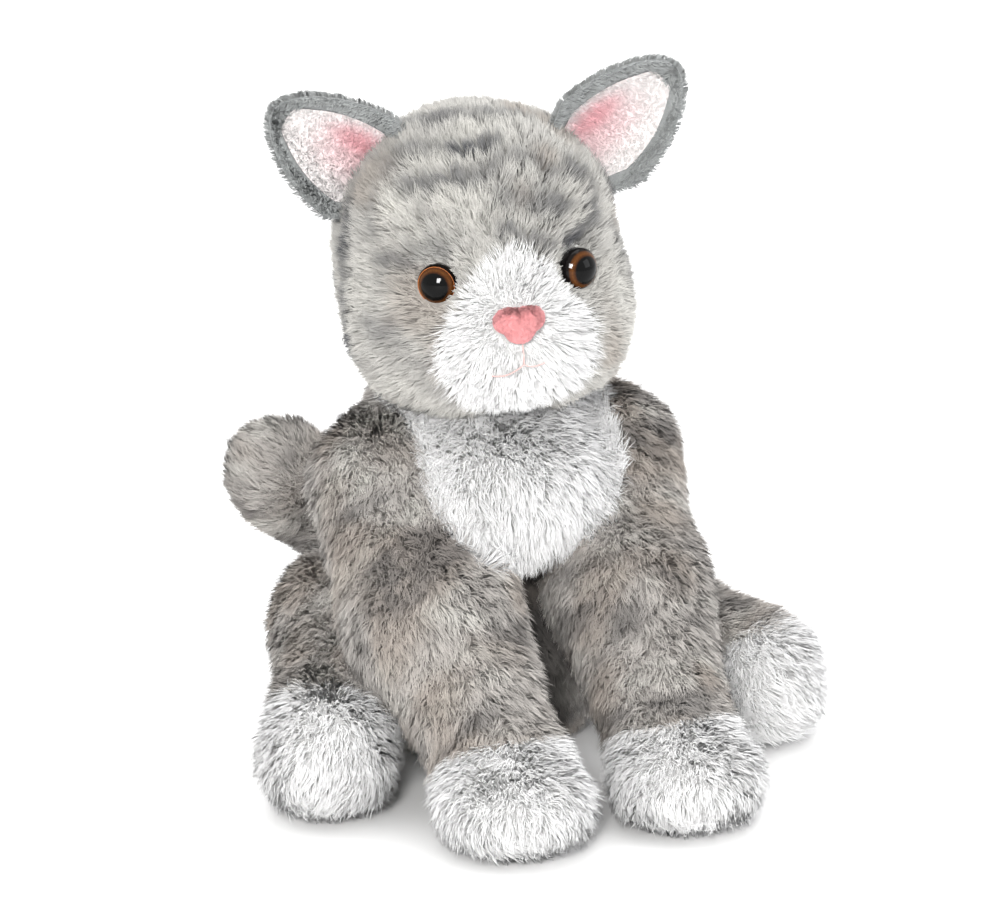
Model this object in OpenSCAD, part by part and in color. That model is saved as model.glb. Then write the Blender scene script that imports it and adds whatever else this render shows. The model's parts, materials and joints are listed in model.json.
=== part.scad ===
// Seated plush kitten: stuffed fabric covers, sewn limbs and plastic safety eyes.
// The cat looks along -Y, sits on Z = 0, and its own left side is +X.

/* [Head] */
// Radius of the head at its widest, pile included
head_r = 57.5; // [54:0.5:60]
// Half height of the head
head_half_height = 60; // [55:0.5:62]
// Height of the head's centre above the floor
head_z = 198; // [195:1:206]
// Distance of the head's centre behind the front-to-back datum
head_y = 45; // [40:1:50]
// Turn of the head toward the cat's right at rest
head_turn = 12; // [0:1:20]
// Lean of the head toward the cat's right at rest
head_lean = 4; // [0:1:8]
// Radius of the muzzle bulge
muzzle_r = 31.5; // [28:0.5:33]

/* [Face] */
// Diameter of one plastic eye
eye_d = 15.5; // [13:0.5:18]
// Angle of each eye from the middle of the face
eye_angle = 30; // [27:1:34]
// Height of the eyes above the head's centre
eye_rise = 1; // [0:0.5:5]
// Width of the nose
nose_w = 19; // [15:0.5:22]
// Height of the nose
nose_h = 13; // [10:0.5:15]

/* [Ears] */
// Width of an ear across its base
ear_w = 52; // [44:1:56]
// Height of an ear from its hinge line to its tip
ear_h = 40; // [36:1:46]
// Lean of each ear away from upright
ear_lean = 50; // [46:1:55]

/* [Torso] */
// Largest radius of the seat and hips
hip_r = 66; // [60:1:68]
// Largest radius of the chest
chest_r = 47; // [42:1:49]
// Forward tilt of the torso, from seat to neck
torso_tilt = 9; // [7:0.5:11]
// Thickness of a cover, backing cloth and pile together
cover_t = 5; // [3:0.5:6]

/* [Legs] */
// Radius of the rounded top of a front leg
shoulder_r = 29; // [27:0.5:31]
// Radius of a front leg at its thickest
front_leg_r = 27; // [24:0.5:28]
// Radius of a front paw
front_paw_r = 31.5; // [28:0.5:33]
// Radius of the rounded top of a hind leg
haunch_r = 34; // [31:0.5:36]
// Radius of a hind leg
hind_leg_r = 25; // [22:0.5:26]
// Radius of a hind paw
hind_paw_r = 26; // [23:0.5:28]
// Distance from hip to hind paw
hind_reach = 76; // [72:1:82]
// Outward angle of the right hind leg at rest
hind_splay_right = 29; // [26:1:38]
// Outward angle of the left hind leg at rest
hind_splay_left = 42; // [32:1:46]

/* [Tail] */
// Radius of the tail
tail_r = 20; // [17:0.5:21]
// Radius of the curve that the tail follows
tail_bend_r = 52; // [49:1:58]

/* [Hidden] */
$fn = 48;

// Clear space between a moving piece and its socket
gap = 0.4;
// Clear space between two pieces sewn or laid together
lay = 0.2;
// Larger than any piece, for trimming
big = 400;

// Pivot of the neck
neck = [0, 50, 146];
neck_r = 26;

// Torso: height of the hips and chest up the leaning axis, and their half heights
torso_foot = [0, 74, 0];
hip_s = 42;
hip_half = 66;
chest_s = 96;
chest_half = 50;

// White chest panel: top and half width of its outline, which stops short of the torso's middle
bib_top = 150;
bib_half = 35;
bib_behind = 10;

// Pellet bag
bag_at = [0, torso_foot.y + 14, 24];
bag_r = 18;
bag_half = 12;

// Closing seam
seam_w = 1.6;
seam_h = 32;
seam_z = 84;

// How much wider than a limb its dent in the torso is
front_dent = 4;
hind_dent = 2;
tail_dent = 7;
// Angle along the tail's curve where its dent is
tail_dent_angle = -30;

// Front legs, on the +X side
shoulder = [44.5, 34, 113];
front_paw = [34, -67, 0];
wrist = [35, -50, 32];
front_paw_h = 44;
// A paw's oval reaches this far below the floor, which cuts it flat
paw_sink = 4;
// Radius where a leg meets its rounded top, and how much thinner it is at the wrist
front_near_r = 21;
wrist_less = 3;

// Hind legs, on the +X side
hip = [49, 60.6, 48.6];
hind_paw_h = 49;
ankle_z = 28;
hind_near_r = 22;
ankle_less = 2;

// Tail
tail_root = [3, 131, 46];
tail_sweep = 100;
tail_rise = 40;
tail_heading = 93;
tail_ball_r = 22;
// How much fuller the tip is than the tail
tail_tip_swell = 0.8;

// Muzzle, blaze and nose, from the head's centre
muzzle = [0, muzzle_r - head_r - 6, -20];
blaze = [0, 9 - head_r, 5];
blaze_r = 12.5;
nose_at = [0, -head_r - 2, -14.5];
// Radius of the nose's rounded front
nose_round = 15;

// Eyes
eye_r = eye_d / 2;
shank_r = 2.5;
shank_h = 15;
eye_seat = 3;
// How far behind the eye's seat the centre of the dome's ball lies, and where the dome's flat back is
dome_depth = 4;
dome_back = 1.2;
// The locking washer behind the cloth
washer_z = -8;
washer_t = 1.6;
washer_rim = 1;
washer_room = 12;

// Ears
ear_seat = head_r + 3;
ear_root_r = 5;
ear_root_l = ear_w - 8;
ear_cup_r = 46;
ear_cloth = 3;
ear_inset = 7;
lining_t = 2;
// Radii of the outline's lower corners and of its tip, and how far back the cupped wall starts
ear_foot_r = 9;
ear_tip_r = 12;
ear_cup_back = 4;
// Flat tab that joins the ear to its sewn root
ear_tab = [ear_root_l - 4, 9, 3];

// Overall limits, which put the origin under the middle of the cat
hind_right_x = hip.x + hind_reach * sin(hind_splay_right);
hind_left_x = hip.x + hind_reach * sin(hind_splay_left);
tail_centre = tail_root - tail_bend_r * tail_dir(-tail_sweep / 2);
middle = [(hind_left_x - hind_right_x) / 2,
    (front_paw.y - front_paw_r + tail_centre.y + tail_bend_r + tail_r) / 2, 0];

// Direction from the centre of the tail's curve at an angle along it
function tail_dir(a) = [
    cos(a) * cos(tail_heading) - sin(a) * cos(tail_rise) * sin(tail_heading),
    cos(a) * sin(tail_heading) + sin(a) * cos(tail_rise) * cos(tail_heading),
    sin(a) * sin(tail_rise)];

// Point on the middle line of the tail
function tail_at(a) = tail_centre + tail_bend_r * tail_dir(a);

// Half width of an ellipse of half height h and half width w, at a distance s from its middle
function oval_w(w, h, s) = w * sqrt(max(0, 1 - s * s / h / h));

// Radius of the torso at a distance s up its axis
function torso_r(s, inset) =
    pow(pow(oval_w(hip_r - inset, hip_half - inset, s - hip_s), 3)
        + pow(oval_w(chest_r - inset, chest_half - inset, s - chest_s), 3), 1 / 3);

// An oval turned solid of radius r from z = low to z = high, squarer for a smaller round
module oval(r, low, high, round = 1) {
    steps = 14;
    half = (high - low) / 2;
    rotate_extrude()
        polygon([for (i = [0:steps]) let (a = -90 + 180 * i / steps)
            [i == 0 || i == steps ? 0 : r * pow(cos(a), round),
                (high + low) / 2 + half * sign(sin(a)) * pow(abs(sin(a)), round)]]);
}

module above(z) {
    intersection() {
        children();
        translate([-big / 2, -big / 2, z]) cube(big);
    }
}

module place_head() {
    translate([0, head_y, head_z]) rotate([0, -head_lean, -head_turn]) children();
}

// ---- torso ----

module torso_form(inset) {
    steps = 22;
    low = -20;
    high = chest_s + chest_half - inset;
    above(inset)
        translate(torso_foot) rotate([torso_tilt, 0, 0]) rotate_extrude()
            polygon([[0, low], for (i = [0:steps]) let (s = low + (high - low) * i / steps)
                [i == steps ? 0 : torso_r(s, inset), s]]);
}

// The rounded hollows that the neck, legs and tail sit in
module torso_sockets(grow) {
    translate(neck) sphere(neck_r + grow);
    translate(tail_root) rotate([0, 0, 90]) sphere(tail_ball_r + grow);
    translate(tail_at(tail_dent_angle)) rotate([0, 0, 90]) sphere(tail_r + tail_dent + grow);
    for (side = [0, 1])
        mirror([side, 0, 0]) {
            translate(shoulder) rotate([0, 90, 0]) sphere(shoulder_r + grow);
            translate(hip) rotate([0, 90, 0]) sphere(haunch_r + grow);
            hollow(shoulder, wrist, front_leg_r + front_dent + grow);
            paw = hind_paw_at(side ? hind_splay_right : hind_splay_left);
            hollow(hip, [paw.x, paw.y, ankle_z], hind_leg_r + hind_dent + grow);
        }
}

// The straight dent that a limb leaves in the torso
module hollow(from, to, r) {
    way = to - from;
    translate(from) rotate([0, acos(way.z / norm(way)), atan2(way.y, way.x)])
        cylinder(r = r, h = norm(way));
}

module torso_inside(inset) {
    difference() {
        torso_form(inset);
        torso_sockets(gap + inset);
    }
}

// The white panel lies in the front of the chest
module bib_outline(grow) {
    translate([0, 0, bib_top - bib_half]) rotate([90, 0, 0])
        cylinder(r = bib_half + grow, h = big / 2);
}

module torso_cover() color("#8f8d8a") difference() {
    torso_inside(0);
    torso_inside(cover_t - lay);
    translate([0, torso_foot.y - bib_behind, 0]) bib_outline(lay);
    closing_slit(lay);
}

module chest_bib() color("white") intersection() {
    difference() {
        torso_inside(0);
        torso_inside(cover_t - lay);
    }
    translate([0, torso_foot.y - bib_behind, 0]) bib_outline(0);
}

module torso_stuffing() color("ivory") difference() {
    torso_inside(cover_t);
    bag_form(lay);
}

module bag_form(grow) {
    translate(bag_at) oval(bag_r + grow, -bag_half - grow, bag_half + grow);
}

module bean_bag() color("tan") bag_form(0);

// Hand-sewn opening up the middle of the back, where the stuffing went in
module closing_slit(grow) {
    translate([-seam_w / 2 - grow, torso_foot.y, seam_z - grow])
        cube([seam_w + 2 * grow, hip_r, seam_h + 2 * grow]);
}

module closing_seam() color("dimgray") intersection() {
    difference() {
        torso_inside(0.5);
        torso_inside(cover_t - lay);
    }
    closing_slit(0);
}

// ---- neck ----

module neck_stuffing() color("ivory") translate(neck) sphere(neck_r);

// ---- head ----

module skull(inset) {
    oval(head_r - inset, -head_half_height + inset, head_half_height - inset, 0.84);
}

module head_oval(inset) {
    place_head() skull(inset);
}

module head_form(inset) {
    difference() {
        above(neck.z + inset) head_oval(inset);
        translate(neck) sphere(neck_r + gap + inset);
        place_head() ear_roots(gap + inset);
    }
}

module muzzle_form(grow) {
    translate(muzzle) sphere(muzzle_r + grow);
    translate(blaze) sphere(blaze_r + grow);
}

module head_cover() color("#a9a8a4") difference() {
    head_form(0);
    head_form(cover_t - lay);
    place_head() {
        muzzle_form(lay);
        eyes() eye_pocket();
    }
}

module head_stuffing() color("ivory") difference() {
    head_form(cover_t);
    place_head() eyes() washer_pocket();
}

module muzzle_panel() color("white") above(neck.z) place_head() difference() {
    muzzle_form(0);
    skull(cover_t - lay);
    nose_block(lay);
    eyes() eye_pocket();
}

module nose_block(grow) {
    corner = 4;
    depth = 8;
    translate(nose_at) rotate([90, 0, 0]) linear_extrude(depth + grow)
        hull() {
            for (side = [-1, 1])
                translate([side * (nose_w / 2 - corner), nose_h / 2 - corner])
                    circle(corner + grow);
            translate([0, corner - nose_h / 2]) circle(corner - 1 + grow);
        }
}

module nose() color("#f4a3a3") place_head() intersection() {
    nose_block(0);
    translate(nose_at + [0, nose_round - 9, 0]) sphere(nose_round);
}

mouth_t = 0.6;
// Degrees round the muzzle where the thread starts, how far it drops and how far each side runs
mouth_start = 3;
mouth_drop = 17;
mouth_side = 24;
// How steeply each side sinks, and the clear space between the threads
mouth_slope = 20;
mouth_lift = 0.15;

// Threads along great circles of the muzzle: one down from the nose and one curling to each side
module mouth_stitch() color("#9a6a60") place_head() translate(muzzle) {
    rotate([mouth_start, 0, 0]) rotate([0, 90, 0]) mouth_arc(mouth_drop);
    for (side = [0, 1])
        mirror([side, 0, 0]) rotate([mouth_start + mouth_drop + 1, 0, 0]) rotate([0, mouth_slope, 0])
            translate([0, 0, -0.1]) rotate([0, 0, 1.3]) mouth_arc(mouth_side);
}

// A thread that starts at the front of the muzzle and runs toward +X
module mouth_arc(sweep) {
    rotate([0, 0, -90]) rotate_extrude(angle = sweep)
        translate([muzzle_r + mouth_t + mouth_lift, 0]) circle(mouth_t);
}

// ---- eyes ----

// Both eyes, each with +Z pointing out of the head from the eye's seat
module eyes() {
    for (side = [-1, 1])
        one_eye(side) children();
}

module one_eye(side) {
    seat_r = head_r - eye_seat;
    rotate([0, 0, side * eye_angle]) translate([0, 0, eye_rise]) rotate([90, 0, 0])
        translate([0, 0, seat_r]) children();
}

module eye_pocket() {
    cylinder(r = eye_r + lay, h = 4 * eye_r);
    translate([0, 0, -shank_h]) cylinder(r = shank_r + lay, h = shank_h + 1);
}

module washer_pocket() {
    translate([0, 0, -shank_h - 1]) cylinder(r = eye_r + washer_rim + 0.5, h = washer_room);
    translate([0, 0, -shank_h - 1]) cylinder(r = shank_r + lay, h = shank_h + 10);
}

// A shallow cap of a ball, flat behind
module dome(side) color("#2a1a10", 0.6) place_head() one_eye(side) intersection() {
    translate([0, 0, -dome_depth]) sphere(norm([eye_r, dome_depth]));
    translate([0, 0, dome_back + eye_r]) cube(2 * eye_r, center = true);
}

module iris(side) color("#8a4b14") place_head() one_eye(side) {
    translate([0, 0, 0.1]) cylinder(r = eye_r - 0.5, h = 1);
    translate([0, 0, -shank_h]) cylinder(r = shank_r, h = shank_h + 0.2);
}

module washer(side) color("whitesmoke") place_head() one_eye(side)
    translate([0, 0, washer_z]) difference() {
        cylinder(r = eye_r + washer_rim, h = washer_t);
        translate([0, 0, -washer_t]) cylinder(r = shank_r + lay / 2, h = 3 * washer_t);
    }

module eye_left_dome() dome(1);
module eye_left_iris() iris(1);
module eye_left_washer() washer(1);
module eye_right_dome() dome(-1);
module eye_right_iris() iris(-1);
module eye_right_washer() washer(-1);

// ---- ears ----

// An ear's own frame: X along its hinge line, Y to its tip, Z forward
module place_ear(side) {
    mirror([side < 0 ? 1 : 0, 0, 0]) rotate([0, ear_lean, 0])
        translate([0, 0, ear_seat]) rotate([90, 0, 0]) children();
}

module ear_root(grow) {
    translate([-ear_root_l / 2 - grow, 0, 0]) rotate([0, 90, 0])
        cylinder(r = ear_root_r + grow, h = ear_root_l + 2 * grow);
}

module ear_roots(grow) {
    for (side = [-1, 1])
        place_ear(side) ear_root(grow);
}

module ear_outline(inset) {
    hull() {
        for (side = [-1, 1])
            translate([side * (ear_w / 2 - ear_foot_r), ear_foot_r + ear_root_r])
                circle(ear_foot_r - inset);
        translate([0, ear_h - ear_tip_r]) circle(ear_tip_r - inset);
    }
}

// A piece of a ball's wall, so that the ear is cupped forward
module ear_blade(inset, near, far) {
    intersection() {
        translate([0, 0, -ear_cup_r]) linear_extrude(2 * ear_cup_r) ear_outline(inset);
        translate([0, ear_h / 2, ear_cup_r - ear_cup_back]) difference() {
            sphere(ear_cup_r - near);
            sphere(ear_cup_r - far);
        }
    }
}

module ear_outer(side) color("#a7a9a8") place_head() place_ear(side) {
    ear_blade(0, 0, ear_cloth);
    ear_root(0);
    translate([-ear_tab.x / 2, 0, -2.5]) cube(ear_tab);
}

module ear_lining(side) color("mistyrose") place_head() place_ear(side) difference() {
    ear_blade(ear_inset / 2, ear_cloth + lay, ear_cloth + lay + lining_t);
    ear_root(lay);
}

module ear_left_outer() ear_outer(1);
module ear_left_lining() ear_lining(1);
module ear_right_outer() ear_outer(-1);
module ear_right_lining() ear_lining(-1);

// ---- legs ----

// A turned limb from one point to another, with a ball at its start
module limb(from, to, ball_r, near_r, mid_r, far_r) {
    way = to - from;
    length = norm(way);
    steps = 8;
    turn = [0, acos(way.z / length), atan2(way.y, way.x)];
    translate(from) {
        sphere(ball_r);
        rotate(turn) rotate_extrude()
            polygon([[0, 0], [near_r, 0],
                for (i = [0:steps]) let (t = i / steps)
                    [near_r + (mid_r - near_r) * sin(90 * min(1, 2 * t))
                        + (far_r - mid_r) * max(0, 2 * t - 1), length * (0.12 + 0.88 * t)],
                [0, length]]);
    }
}

module front_limb(inset) {
    limb(shoulder, wrist, shoulder_r - inset, front_near_r - inset, front_leg_r - inset,
        front_leg_r - wrist_less - inset);
}

module front_paw_form(inset) {
    above(inset) translate(front_paw)
        oval(front_paw_r - inset, inset - paw_sink, front_paw_h - inset);
}

module front_filling(inset) {
    front_limb(inset);
    front_paw_form(inset);
}

module front_leg_cover() color("#8a8580") difference() {
    front_limb(0);
    front_paw_form(-lay);
    front_filling(cover_t - lay);
}

module front_paw_cover() color("white") difference() {
    front_paw_form(0);
    front_filling(cover_t - lay);
}

module front_stuffing() color("ivory") front_filling(cover_t);

module front_leg_left_cover() front_leg_cover();
module front_paw_left_cover() front_paw_cover();
module front_leg_left_stuffing() front_stuffing();
module front_leg_right_cover() mirror([1, 0, 0]) front_leg_cover();
module front_paw_right_cover() mirror([1, 0, 0]) front_paw_cover();
module front_leg_right_stuffing() mirror([1, 0, 0]) front_stuffing();

// Where a hind paw's middle stands for an outward angle
function hind_paw_at(splay) =
    [hip.x + hind_reach * sin(splay), hip.y - hind_reach * cos(splay), 0];

module hind_limb(splay, inset) {
    paw = hind_paw_at(splay);
    limb(hip, [paw.x, paw.y, ankle_z], haunch_r - inset, hind_near_r - inset,
        hind_leg_r - inset, hind_leg_r - ankle_less - inset);
}

module hind_paw_form(splay, inset) {
    above(inset) translate(hind_paw_at(splay))
        oval(hind_paw_r - inset, inset - paw_sink, hind_paw_h - inset);
}

module hind_filling(splay, inset) {
    hind_limb(splay, inset);
    hind_paw_form(splay, inset);
}

module hind_leg_cover(splay) color("#85807b") difference() {
    hind_limb(splay, 0);
    hind_paw_form(splay, -lay);
    hind_filling(splay, cover_t - lay);
}

module hind_paw_cover(splay) color("white") difference() {
    hind_paw_form(splay, 0);
    hind_filling(splay, cover_t - lay);
}

module hind_stuffing(splay) color("ivory") hind_filling(splay, cover_t);

module hind_leg_left_cover() hind_leg_cover(hind_splay_left);
module hind_paw_left_cover() hind_paw_cover(hind_splay_left);
module hind_leg_left_stuffing() hind_stuffing(hind_splay_left);
module hind_leg_right_cover() mirror([1, 0, 0]) hind_leg_cover(hind_splay_right);
module hind_paw_right_cover() mirror([1, 0, 0]) hind_paw_cover(hind_splay_right);
module hind_leg_right_stuffing() mirror([1, 0, 0]) hind_stuffing(hind_splay_right);

// ---- tail ----

module tail_curve(inset) {
    translate(tail_centre) rotate([tail_rise, 0, tail_heading])
        rotate([0, 0, -tail_sweep / 2]) rotate_extrude(angle = tail_sweep)
            translate([tail_bend_r, 0]) circle(tail_r - inset);
}

module tail_form(inset) {
    translate(tail_root) sphere(tail_ball_r - inset);
    tail_curve(inset);
    translate(tail_at(tail_sweep / 2)) sphere(tail_r + tail_tip_swell - inset);
}

module tail_cover() color("#9b9995") difference() {
    tail_form(0);
    tail_form(cover_t - lay);
}

module tail_stuffing() color("ivory") tail_form(cover_t);

translate(-middle) {
    torso_cover();
    torso_stuffing();
    chest_bib();
    bean_bag();
    closing_seam();
    neck_stuffing();
    head_cover();
    head_stuffing();
    muzzle_panel();
    nose();
    mouth_stitch();
    eye_left_dome();
    eye_left_iris();
    eye_left_washer();
    eye_right_dome();
    eye_right_iris();
    eye_right_washer();
    ear_left_outer();
    ear_left_lining();
    ear_right_outer();
    ear_right_lining();
    front_leg_left_cover();
    front_paw_left_cover();
    front_leg_left_stuffing();
    front_leg_right_cover();
    front_paw_right_cover();
    front_leg_right_stuffing();
    hind_leg_left_cover();
    hind_paw_left_cover();
    hind_leg_left_stuffing();
    hind_leg_right_cover();
    hind_paw_right_cover();
    hind_leg_right_stuffing();
    tail_cover();
    tail_stuffing();
}
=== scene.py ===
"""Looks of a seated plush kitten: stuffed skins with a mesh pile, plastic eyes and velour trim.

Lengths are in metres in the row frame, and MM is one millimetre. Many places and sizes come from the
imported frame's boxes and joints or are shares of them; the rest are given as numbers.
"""

import json
import math

import bpy
import numpy as np
import openvdb
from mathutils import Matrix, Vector


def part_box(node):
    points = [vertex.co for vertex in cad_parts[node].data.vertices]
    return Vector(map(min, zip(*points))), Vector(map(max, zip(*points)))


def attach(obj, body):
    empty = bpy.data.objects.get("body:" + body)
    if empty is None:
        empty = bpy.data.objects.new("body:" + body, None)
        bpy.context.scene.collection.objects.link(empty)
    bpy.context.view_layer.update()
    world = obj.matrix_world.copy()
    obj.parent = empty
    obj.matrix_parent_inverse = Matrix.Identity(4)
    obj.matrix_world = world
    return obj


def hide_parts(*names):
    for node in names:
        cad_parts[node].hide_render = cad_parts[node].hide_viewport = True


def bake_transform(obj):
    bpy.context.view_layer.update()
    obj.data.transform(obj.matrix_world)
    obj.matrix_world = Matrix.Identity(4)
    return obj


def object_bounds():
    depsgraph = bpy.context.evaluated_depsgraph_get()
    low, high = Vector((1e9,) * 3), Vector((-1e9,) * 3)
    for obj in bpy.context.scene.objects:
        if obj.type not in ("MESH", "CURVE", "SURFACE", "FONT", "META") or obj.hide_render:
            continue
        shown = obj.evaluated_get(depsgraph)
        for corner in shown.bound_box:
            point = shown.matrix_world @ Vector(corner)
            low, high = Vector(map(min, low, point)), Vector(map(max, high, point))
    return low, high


MM = 0.001

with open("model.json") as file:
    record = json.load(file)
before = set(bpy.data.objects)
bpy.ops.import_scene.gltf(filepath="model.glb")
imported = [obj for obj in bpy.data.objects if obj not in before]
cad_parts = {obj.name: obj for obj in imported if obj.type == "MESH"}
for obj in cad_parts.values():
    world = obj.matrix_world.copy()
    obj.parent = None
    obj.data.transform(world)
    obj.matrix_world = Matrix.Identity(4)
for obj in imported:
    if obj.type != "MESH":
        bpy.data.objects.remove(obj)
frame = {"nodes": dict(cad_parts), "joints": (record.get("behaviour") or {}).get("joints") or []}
CAD_LOW, CAD_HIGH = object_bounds()


# ---- places taken from the frame ----


def vec(*values):
    return np.array(values, float)


def box(node):
    low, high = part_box(node)
    return vec(*low), vec(*high)


def middle(node):
    low, high = box(node)
    return (low + high) / 2


def spin(axis, degrees):
    """Rotation matrix about one axis, "x", "y" or "z"."""
    c, s = math.cos(math.radians(degrees)), math.sin(math.radians(degrees))
    i = "xyz".index(axis)
    j, k = (i + 1) % 3, (i + 2) % 3
    m = np.eye(3)
    m[j, j], m[j, k], m[k, j], m[k, k] = c, -s, s, c
    return m


def unit(v):
    return v / np.maximum(np.linalg.norm(v, axis=-1, keepdims=True), 1e-12)


JOINTS = {j["name"]: j for j in frame["joints"]}


def pivot(joint):
    return vec(*JOINTS[joint]["pos_m"])


# How far the woven backing lies below the tips of the pile
PILE = 5 * MM

HEAD_LOW, HEAD_HIGH = box("head_cover")
HEAD_R = (HEAD_HIGH[0] - HEAD_LOW[0]) / 2
HEAD_HALF = HEAD_R * 60 / 57.5
HEAD_C = vec((HEAD_LOW[0] + HEAD_HIGH[0]) / 2, (HEAD_LOW[1] + HEAD_HIGH[1]) / 2, HEAD_HIGH[2] - HEAD_HALF)
NOD = JOINTS["head_nod"]["axis"]
HEAD_TURN = math.degrees(math.atan2(NOD[1], NOD[0]))
HEAD_LEAN = -4.0
HEAD_M = spin("z", HEAD_TURN) @ spin("y", HEAD_LEAN)
NOSE_LOCAL = (middle("nose") - HEAD_C) @ HEAD_M

NECK = pivot("head_turn")
FOOT = vec(NECK[0], NECK[1] + 24 * MM, 0)
TILT = 9.0
TORSO_M = spin("x", TILT)


def up_torso(height):
    """A point on the torso's leaning axis."""
    return FOOT + TORSO_M @ vec(0, 0, height)


SIDES = {"left": 1, "right": -1}
FRONT = {}
HIND = {}
for side in SIDES:
    low, high = box(f"front_paw_{side}_cover")
    FRONT[side] = {"top": pivot(f"front_leg_{side}_swing"), "low": low, "high": high}
    low, high = box(f"hind_paw_{side}_cover")
    HIND[side] = {"top": pivot(f"hind_leg_{side}_splay"), "low": low, "high": high}

TAIL_LOW, TAIL_HIGH = box("tail_cover")
TAIL_ROOT = pivot("tail_wag")


def in_tail_box(x, y, z):
    return TAIL_LOW + vec(x, y, z) * (TAIL_HIGH - TAIL_LOW)


# ---- soft shapes: signed distances, negative inside ----


def ball(centre, radius, turn=None):
    """A ball, or an oval if radius has three values, turned by a matrix."""
    radius = np.broadcast_to(np.array(radius, float), 3)
    turn = np.eye(3) if turn is None else turn

    def field(p):
        q = (p - centre) @ turn
        k0 = np.linalg.norm(q / radius, axis=-1)
        k1 = np.linalg.norm(q / radius**2, axis=-1)
        return k0 * (k0 - 1) / np.maximum(k1, 1e-9)

    return field


def rod(a, b, ra, rb):
    """A round bar from a to b whose radius goes from ra to rb."""
    way = b - a
    span = way @ way

    def field(p):
        t = np.clip(((p - a) @ way) / span, 0, 1)
        return np.linalg.norm(p - a - t[..., None] * way, axis=-1) - (ra + (rb - ra) * t)

    return field


def melt(fields, k):
    """The union of shapes with soft creases about k wide."""

    def field(p):
        d = fields[0](p)
        for other in fields[1:]:
            e = other(p)
            h = np.maximum(k - np.abs(d - e), 0) / k
            d = np.minimum(d, e) - h * h * k / 4
        return d

    return field


SKULL_C = HEAD_C + vec(-3.4, 1.4, 0) * MM
SKULL_R = HEAD_R - PILE - 1.0 * MM


def skull(p):
    """The head: a turned oval, a little squarer than an egg."""
    q = (p - SKULL_C) @ HEAD_M
    power = 2.3
    across = np.hypot(q[..., 0], q[..., 1]) / SKULL_R
    up = np.abs(q[..., 2]) / (HEAD_HALF - PILE)
    return ((across**power + up**power) ** (1 / power) - 1) * SKULL_R


def head_point(x, y, z):
    """A point of the head given as shares of its radius."""
    return HEAD_C + HEAD_M @ (vec(x, y, z) * HEAD_R)


def head_shapes():
    shapes = [skull]
    shapes.append(ball(head_point(0, -0.55, -0.36), HEAD_R * 0.475))
    shapes.append(ball(head_point(0, -0.74, 0.02), HEAD_R * 0.20))
    for s in (-1, 1):
        shapes.append(ball(head_point(0.20 * s, -0.66, -0.44), HEAD_R * 0.36))
        shapes.append(ball(head_point(0.40 * s - 0.04, -0.34, -0.38), HEAD_R * 0.50))
    return shapes


def torso_shapes():
    low, high = box("torso_cover")
    hip_r = (high[0] - low[0]) / 2 - PILE
    hips = ball(up_torso(42 * MM), (hip_r, hip_r, hip_r), TORSO_M)
    chest = ball(up_torso(98 * MM), (44 * MM, 41 * MM, 45 * MM), TORSO_M)
    neck = rod(up_torso(112 * MM), NECK + vec(0, -1, 2) * MM, 39 * MM, 35 * MM)
    bust = ball(vec(NECK[0] - 4 * MM, -14 * MM, 112 * MM), (41 * MM, 35 * MM, 31 * MM))
    shapes = [hips, chest, neck, bust]
    for s in (-1, 1):
        shapes.append(rod(vec(NECK[0] + 20 * MM * s, NECK[1], 136 * MM),
                          vec(NECK[0] + 34 * MM * s, NECK[1] - 8 * MM, 106 * MM), 19 * MM, 25 * MM))
    return shapes


# How far the middle of each front leg lies off the line from shoulder to wrist, and its radius there
LEG_MID = {"left": vec(-2, 3, 0) * MM, "right": vec(-4, 3, 0) * MM}
LEG_FAT = {"left": 25.5 * MM, "right": 28 * MM}


def front_leg_shapes(side):
    leg = FRONT[side]
    low, high = leg["low"], leg["high"]
    c = (low + high) / 2
    r = (high[0] - low[0]) / 2 - PILE
    wrist = vec(c[0] + SIDES[side] * 1 * MM, c[1] + 17 * MM, 32 * MM)
    top = leg["top"]
    mid = top + (wrist - top) * 0.5 + LEG_MID[side]
    fat = LEG_FAT[side]
    paw = ball(vec(c[0] - 1 * MM, c[1] - 1 * MM, 17 * MM), (r - 1 * MM, r, 19.5 * MM))
    return [rod(top, mid, 27 * MM, fat), rod(mid, wrist, fat, 21 * MM), paw]


def hind_leg_shapes(side):
    leg = HIND[side]
    low, high = leg["low"], leg["high"]
    c = (low + high) / 2
    r = (high[0] - low[0]) / 2 - PILE
    top = leg["top"]
    ankle = vec(c[0], c[1], 27 * MM)
    haunch = ball(top, (28 * MM, 32 * MM, 30 * MM))
    paw = ball(vec(c[0], c[1], 20.5 * MM), (r - 0.5 * MM, r - 0.5 * MM, 23 * MM))
    return [haunch, rod(top + (ankle - top) * 0.2, ankle, 24 * MM, 19.5 * MM), paw]


def tail_line():
    """The middle line of the tail, from its root to its tip."""
    return [TAIL_ROOT, in_tail_box(0.62, 0.63, 0.42), in_tail_box(0.45, 0.67, 0.54),
            in_tail_box(0.31, 0.60, 0.66),
            in_tail_box(0.255, 0.53, 0.72)]


def tail_shapes():
    line = tail_line()
    radii = [17 * MM, 16 * MM, 16 * MM, 16.5 * MM, 16.5 * MM]
    return [rod(line[i], line[i + 1], radii[i], radii[i + 1]) for i in range(len(line) - 1)]


SHAPES = {"torso": torso_shapes(), "head": head_shapes(), "tail": tail_shapes()}
for side in SIDES:
    SHAPES[f"front_leg_{side}"] = front_leg_shapes(side)
    SHAPES[f"hind_leg_{side}"] = hind_leg_shapes(side)

# How wide the soft crease is where two pieces of one body meet, and where a limb leaves the torso
INNER_CREASE = 14 * MM
LIMB_CREASE = 12 * MM
# How far a limb's skin reaches past its crease onto the torso
FLAP = 8 * MM
# The cat rests on its backing this far above the surface, with the pile pressed flat below
REST_Z = 1.6 * MM

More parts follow.
